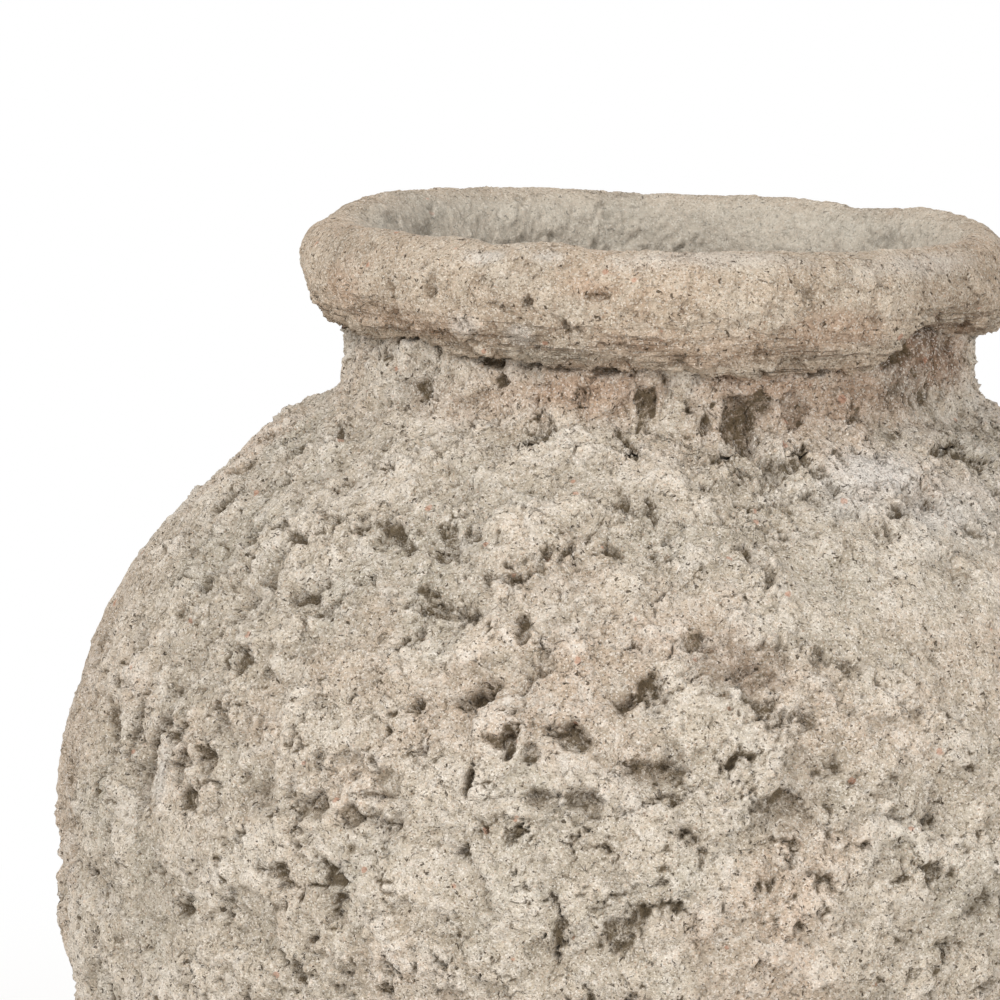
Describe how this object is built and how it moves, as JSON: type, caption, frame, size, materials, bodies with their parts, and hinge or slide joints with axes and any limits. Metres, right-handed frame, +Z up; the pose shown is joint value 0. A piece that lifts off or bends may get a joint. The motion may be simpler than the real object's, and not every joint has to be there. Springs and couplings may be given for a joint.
{
  "type": "terracotta vase",
  "caption": "Round-bellied terracotta vase with a short drawn-in neck and a thick rolled rim, coil-built from rings of clay on a flat base slab; holds stems or branches.",
  "frame": {"origin": "centre of the flat foot, on the surface that the vase stands on", "axes": "+Z up along the axis of the vase; +X and +Y level, with the pictured side facing -Y"},
  "size_m": [0.3398, 0.34, 0.335],
  "materials": {
    "weathered_terracotta": "rough unglazed earthenware, pitted and crusted with pale grey lime and dried mud",
    "inner_clay": "rough unglazed earthenware, dusty"
  },
  "bodies": {
    "root": {"foot_course": "weathered_terracotta", "lower_course_1": "weathered_terracotta", "lower_course_2": "weathered_terracotta", "lower_course_3": "weathered_terracotta", "belly_course": "weathered_terracotta", "shoulder_course_1": "weathered_terracotta", "shoulder_course_2": "weathered_terracotta", "shoulder_course_3": "weathered_terracotta", "shoulder_course_4": "weathered_terracotta", "neck_collar": "weathered_terracotta", "rim_coil": "weathered_terracotta", "base_slab": "inner_clay", "inner_fillet_coil": "inner_clay"}
  },
  "joints": []
}
